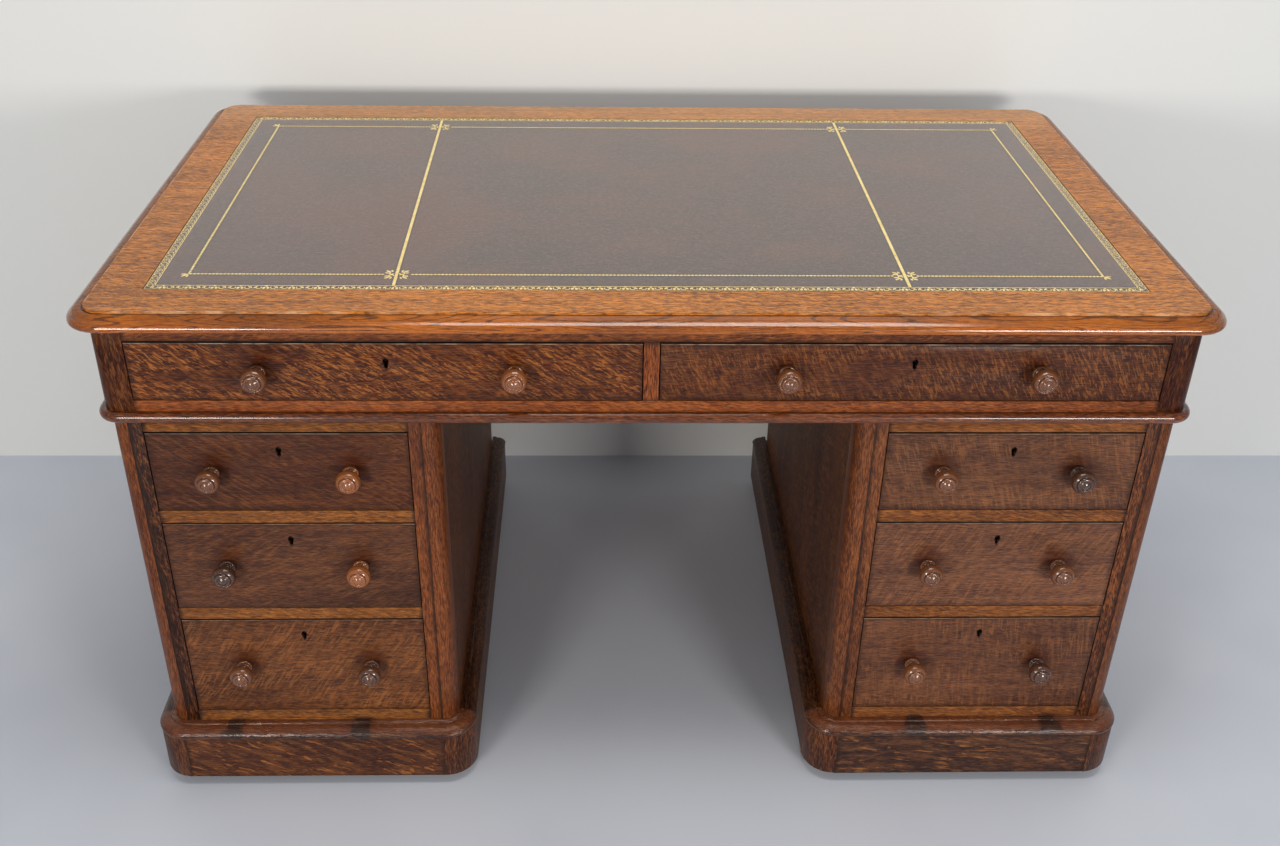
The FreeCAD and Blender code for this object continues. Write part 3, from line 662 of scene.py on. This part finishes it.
# The pedestals: each front is framed of rounded posts, narrow stiles and rails between the drawers,
# glued flush, with dark glue lines. Side and back boards of upright oak close it behind.
post_width = 0.0215
slope = (0.093, 0.101)           # the sloping part of the plinth moulding, and where it ends
slope_end = (0.1048, 0.1056)
rail_foot = (0.105, 0.113)
stain_z = 0.100
stain_spread = {"left": 0.004, "right": 0.018}
stain_shift = {"left": -0.022, "right": 0.025}


def knob_spacing(drawer):
    """The distance between the two knobs of a drawer, which are as wide as they are high."""
    low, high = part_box(drawer + "_knobs")
    return (high.x - low.x) - (high.z - low.z)


def foot_wear(tree, spot, axis, colour, rough, patchy_noise, coat):
    """Foot of a pedestal: paler on the slope of the plinth moulding, and stained below each knob."""
    paler = maths(tree, "MULTIPLY", fade(tree, axis["Z"], *slope),
                  fade(tree, axis["Z"], *slope_end, 1.0, 0.0))
    colour = tint(tree, maths(tree, "MULTIPLY", paler, 0.45), colour, srgb(128, 70, 40))
    across = maths(tree, "SUBTRACT", off(tree, axis["X"], stain_middle), stain_spacing / 2)
    upward = maths(tree, "SUBTRACT", axis["Z"], stain_z)
    reach = maths(tree, "POWER", squares(tree, across, upward), 0.5)
    reach = maths(tree, "MULTIPLY_ADD", patchy_noise, 0.05, maths(tree, "SUBTRACT", reach, 0.025))
    stain = maths(tree, "MULTIPLY", fade(tree, reach, 0.008, 0.016, 0.8, 0.0),
                  fade(tree, axis["Z"], *rail_foot, 1.0, 0.15))
    return tint(tree, stain, colour, srgb(34, 17, 12)), rough, coat


for hand, outward, seed, post_tone, stile_tone, outer_mottle, rail_tone in (
        ("left", -1, 31.0, (101, 51, 24), (50, 16, 7), 0.7, (118, 69, 28)),
        ("right", 1, 47.0, (99, 53, 28), (84, 41, 21), 0.35, (114, 65, 28))):
    node = hand + "_pedestal_front"
    low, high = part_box(node)
    middle = (low.x + high.x) / 2
    stain_middle = middle + stain_shift[hand]
    stain_spacing = knob_spacing(hand + "_bottom_drawer") + stain_spread[hand]
    drawer_low, drawer_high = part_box(hand + "_top_drawer_front")
    opening = (drawer_high.x - drawer_low.x) / 2 + front_gap
    post_edge = (high.x - low.x) / 2 - post_width
    glue_lines = (("X", middle - post_edge, middle + post_edge),)
    upright = oak(hand + "_post_oak", "ZXY", seed, post_tone, flecks=0.15, gloss=0.40, mottle=0.15,
                  contrast=0.7)
    fit(eased(node, hand + "_pedestal_posts", lambda c: abs(c.x - middle) > post_edge),
        upright, "carcase", node)
    stile = oak(hand + "_stile_oak", "ZXY", seed + 3.3, post_tone, flecks=0.18, mottle=0.1, contrast=0.65,
                rim=glue_lines, rim_depth=0.85)
    fit(eased(node, hand + "_inner_stile", lambda c: -post_edge < outward * (c.x - middle) < -opening),
        stile, "carcase", node)
    stained = oak(hand + "_outer_stile_oak", "ZXY", seed + 4.4, stile_tone, flecks=0.3, mottle=outer_mottle,
                  rim=glue_lines, rim_depth=0.85)
    fit(eased(node, hand + "_outer_stile", lambda c: opening < outward * (c.x - middle) < post_edge),
        stained, "carcase", node)
    level = oak(hand + "_rail_oak", "XZY", seed + 5.7, rail_tone, flecks=0.25, contrast=0.65,
                rim=(("X", middle - opening, middle + opening),), rim_depth=0.85, marks=foot_wear)
    fit(eased(node, hand + "_pedestal_rails", lambda c: abs(c.x - middle) < opening),
        level, "carcase", node)
    dress(hand + "_pedestal_sides", oak(hand + "_side_oak", "ZYX", seed + 8.1, (72, 35, 14), flecks=0.3,
                                        slant=75.0, fleck_size=1.2, coat=0.0, shine=0.14))
    dress(hand + "_pedestal_back", oak(hand + "_back_oak", "ZXY", seed + 9.4, (106, 62, 32), flecks=0.3,
                                       gloss=0.58))
    dress(hand + "_pedestal_runners", inner_oak)

# The plinths: thick oak boards with rounded blocks glued into the front corners, and a thumb moulding
# planted on their top edge. They stand on small turned feet that lift them off a damp floor.
board_low = 0.0145
board_high = 0.0915
board_top = 0.0896
seam = 0.1825
corner_back = -0.3349
board_back = 0.3755
moulding_front = -0.335
moulding_back = 0.381


def in_boards(c):
    return c.z < board_top and abs(c.x - middle) < seam and (c.y < corner_back or c.y > board_back)


def in_corners(c):
    return c.z < board_top and abs(c.x - middle) > seam and c.y < corner_back


def in_ends(c):
    return c.z < board_top and c.y > corner_back and not (abs(c.x - middle) < seam and c.y > board_back)


def in_moulding(c):
    return c.z > board_top and (c.y < moulding_front or c.y > moulding_back)


def in_end_moulding(c):
    return c.z > board_top and not (c.y < moulding_front or c.y > moulding_back)


for hand, seed, board_tone, board_slant in (
        ("left", 61.0, (76, 39, 21), 27.0), ("right", 73.0, (54, 30, 23), 6.0)):
    node = hand + "_pedestal_plinth"
    low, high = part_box(node)
    middle = (low.x + high.x) / 2
    stain_middle = middle + stain_shift[hand]
    stain_spacing = knob_spacing(hand + "_bottom_drawer") + stain_spread[hand]
    board = oak(hand + "_plinth_oak", "XZY", seed, board_tone, flecks=0.6, slant=board_slant, fleck_size=1.3,
                gloss=0.42, ray_shape=(46, 260, 140), sparse=0.062, haze=0.3, contrast=0.6,
                rim=(("X", middle - seam, middle + seam), ("Z", board_low, board_high)), rim_depth=0.6)
    fit(eased(node, hand + "_plinth_boards", in_boards), board, "carcase", node)
    corner = oak(hand + "_plinth_corner_oak", "ZXY", seed + 4.6, (72, 36, 20), flecks=0.15, gloss=0.40)
    fit(eased(node, hand + "_plinth_corners", in_corners), corner, "carcase", node)
    ends = oak(hand + "_plinth_side_oak", "YZX", seed + 2.1, (68, 36, 19), flecks=0.4, slant=-18.0)
    fit(eased(node, hand + "_plinth_sides", in_ends), ends, "carcase", node)
    planted = oak(hand + "_plinth_moulding_oak", "XZY", seed + 6.2, (60, 27, 14), flecks=0.25, gloss=0.3,
                  coat=0.5, relief=1.1, marks=foot_wear)
    fit(eased(node, hand + "_plinth_moulding", in_moulding, 0), planted, "carcase", node)
    planted_end = oak(hand + "_plinth_moulding_side_oak", "YZX", seed + 7.9, (56, 27, 15), flecks=0.2,
                      gloss=0.32, coat=0.45, relief=1.1)
    fit(eased(node, hand + "_plinth_moulding_sides", in_end_moulding, 0),
        planted_end, "carcase", node)
dress("glides", oak("glide_oak", "ZXY", 83.0, (70, 48, 36), flecks=0.1, gloss=0.7, coat=0.0))

# The drawers: quarter-sawn oak fronts, lap-dovetailed to oak sides, with a back and a thin bottom in
# grooves. Each has two turned knobs, tenoned through the front, and a brass lock let in behind.
keyhole_drop = 0.0285
keyhole_half = 0.0078
keyhole_slot, keyhole_round = 0.0021, 0.0039
side_board = 0.0101
turning_rate = 2600.0            # how close the rings are that the turning tool left


def front_stains_and_painted_light(tree, spot, axis, colour, rough, patchy_noise, coat):
    """A drawer front: darker where hands reach round a knob, painted shade in the keyhole, and along its top
    a painted highlight on the arris below a painted shadow in the gap."""
    across = maths(tree, "SUBTRACT", off(tree, axis["X"], middle), spacing / 2)
    above = maths(tree, "SUBTRACT", axis["Z"], knob_height + 0.006)
    reach = maths(tree, "POWER", squares(tree, across, above), 0.5)
    reach = maths(tree, "MULTIPLY_ADD", patchy_noise, 0.03, maths(tree, "SUBTRACT", reach, 0.015))
    colour = tint(tree, fade(tree, reach, 0.012, 0.030, handling, 0.0), colour, srgb(64, 24, 12))

    # The keyhole painted black: painted shade in the hole, fading out just past its edge.
    drop = maths(tree, "DIVIDE", maths(tree, "SUBTRACT", axis["Z"], high.z - keyhole_drop), keyhole_half)
    slot = fade(tree, drop, -0.35, 0.2, keyhole_slot, keyhole_round)
    aside = maths(tree, "DIVIDE", maths(tree, "SUBTRACT", axis["X"], middle), slot)
    hole = fade(tree, squares(tree, drop, aside), 0.8, 1.5, 0.95, 0.0)
    colour = tint(tree, hole, colour, srgb(16, 11, 9))

    # A patchy painted highlight along the top arris.
    arris = fade(tree, axis["Z"], high.z - 0.0024, high.z - 0.0015)
    arris = maths(tree, "MULTIPLY", arris, fade(tree, patchy_noise, 0.42, 0.62, 0.1, arris_highlight))
    colour = tint(tree, arris, colour, srgb(196, 168, 142))
    # A painted shadow in the gap above the front, strongest at its face.
    gap = maths(tree, "MULTIPLY", fade(tree, axis["Z"], high.z - 0.0011, high.z - 0.0006),
                fade(tree, axis["Y"], low.y + 0.0016, low.y + 0.0040, 1.0, 0.3))
    return tint(tree, gap, colour, srgb(24, 14, 10)), rough, coat


def knob_shades(tree, spot, axis, colour, rough, patchy_noise, coat):
    """Each knob of a pair was turned from its own piece: the left one takes the first shade."""
    right = fade(tree, axis["X"], middle - 0.01, middle + 0.01)
    pale = maths(tree, "MULTIPLY_ADD", right, pair[1] - pair[0], pair[0])
    across = maths(tree, "SUBTRACT", off(tree, axis["X"], middle), spacing / 2)
    above = maths(tree, "SUBTRACT", axis["Z"], knob_height)
    radius = maths(tree, "POWER", squares(tree, across, above), 0.5)
    turning = maths(tree, "SINE", maths(tree, "MULTIPLY", radius, turning_rate))
    colour = tint(tree, pale, colour, srgb(160, 90, 36))
    return tint(tree, fade(tree, turning, 0.3, 1.0, 0.0, 0.35), colour, srgb(52, 26, 14)), rough, coat


side_box_oak = oak("drawer_side_oak", "YZX", 93.0, (176, 136, 94), flecks=0.2, slant=30.0, gloss=0.62,
                   coat=0.0, contrast=0.5)
floor_box_oak = oak("drawer_bottom_oak", "XYZ", 95.0, (170, 130, 90), flecks=0.2, slant=-30.0, gloss=0.66,
                    coat=0.0, contrast=0.5)

brass, tree, shader = new_finish("lock_brass")
spot = add(tree, "TexCoord").outputs["Object"]
tarnish = cloud(tree, spot, (120, 120, 120), 4.0)
brushed = cloud(tree, spot, (30, 900, 900), 2.0)
facing = add(tree, "SeparateXYZ", {0: add(tree, "NewGeometry").outputs["Normal"]}).outputs[1]
tarnish_and_shade = tint(tree, fade(tree, tarnish, 0.4, 0.65), srgb(170, 134, 76), srgb(92, 70, 42))
# Faces turned to the front, which show through the keyholes, are painted near black: painted shade in the
# keyhole.
tarnish_and_shade = tint(tree, fade(tree, facing, -0.9, -0.4, 0.95, 0.0), tarnish_and_shade, srgb(14, 11, 9))
tree.links.new(tarnish_and_shade, shader.inputs["Base Color"])
tree.links.new(fade(tree, brushed, 0.3, 0.7, 0.28, 0.5), shader.inputs["Roughness"])
bump = add(tree, "Bump", {"Strength": 0.2, "Distance": 0.0002, "Height": brushed}).outputs[0]
tree.links.new(bump, shader.inputs["Normal"])
shader.inputs["Metallic"].default_value = 1.0

for name, seed, slant, flecks, size, contrast, tone, pair in (
        ("left_frieze", 101.0, 34.0, 0.65, 0.85, 0.8, (80, 35, 12), (0.25, 0.6)),
        ("right_frieze", 113.0, 64.0, 0.38, 0.8, 0.6, (72, 33, 16), (0.35, 0.3)),
        ("left_top", 127.0, 34.0, 0.16, 0.8, 0.5, (71, 34, 18), (0.3, 0.75)),
        ("left_middle", 131.0, -24.0, 0.16, 0.8, 0.5, (77, 44, 29), (0.0, 0.8)),
        ("left_bottom", 139.0, -58.0, 0.26, 0.9, 0.6, (92, 52, 28), (0.3, 0.1)),
        ("right_top", 149.0, 74.0, 0.2, 1.0, 0.5, (92, 57, 39), (0.35, 0.0)),
        ("right_middle", 157.0, -62.0, 0.2, 1.0, 0.5, (97, 61, 44), (0.3, 0.3)),
        ("right_bottom", 163.0, 84.0, 0.2, 1.0, 0.5, (90, 54, 37), (0.4, 0.05))):
    drawer = name + "_drawer"
    if "frieze" in name:
        ray_shape, haze, handling, arris_highlight = (64, 320, 140), 0.35, 0.3, 0.6
    else:
        ray_shape, haze, handling, arris_highlight = (27, 270, 140), 0.45, 0.55, 0.35
    low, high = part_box(drawer + "_front")
    middle = (low.x + high.x) / 2
    half = (high.x - low.x) / 2 - side_board
    knob_low, knob_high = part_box(drawer + "_knobs")
    knob_height = (knob_low.z + knob_high.z) / 2
    spacing = knob_spacing(drawer)
    front_oak = oak(drawer + "_oak", "XZY", seed, tone, flecks=flecks, slant=slant, fleck_size=size,
                    contrast=contrast, ray_shape=ray_shape, haze=haze,
                    rim=(("X", low.x, high.x), ("Z", low.z, high.z)), marks=front_stains_and_painted_light)
    fit(eased(drawer + "_front", drawer + "_front_eased"), front_oak, drawer, drawer + "_front")
    fit(eased(drawer + "_box", drawer + "_sides", lambda c: abs(c.x - middle) > half, 0.0004),
        side_box_oak, drawer, drawer + "_box")
    fit(eased(drawer + "_box", drawer + "_bottom", lambda c: abs(c.x - middle) < half, 0.0004),
        floor_box_oak, drawer, drawer + "_box")
    turned_oak = oak(drawer + "_knob_oak", "YXZ", seed + 1.3, (62, 31, 12), flecks=0.1, gloss=0.40, coat=1.0,
                     contrast=0.4, relief=0.06, marks=knob_shades)
    varnish = turned_oak.node_tree.nodes["Principled BSDF"].inputs
    varnish["Coat IOR"].default_value = 1.65
    varnish["Coat Roughness"].default_value = 0.2
    fit(eased(drawer + "_knobs", drawer + "_knobs_turned", ease=0), turned_oak, drawer,
        drawer + "_knobs")
    dress(drawer + "_lock", brass)
    dress(drawer + "_bolt", brass)
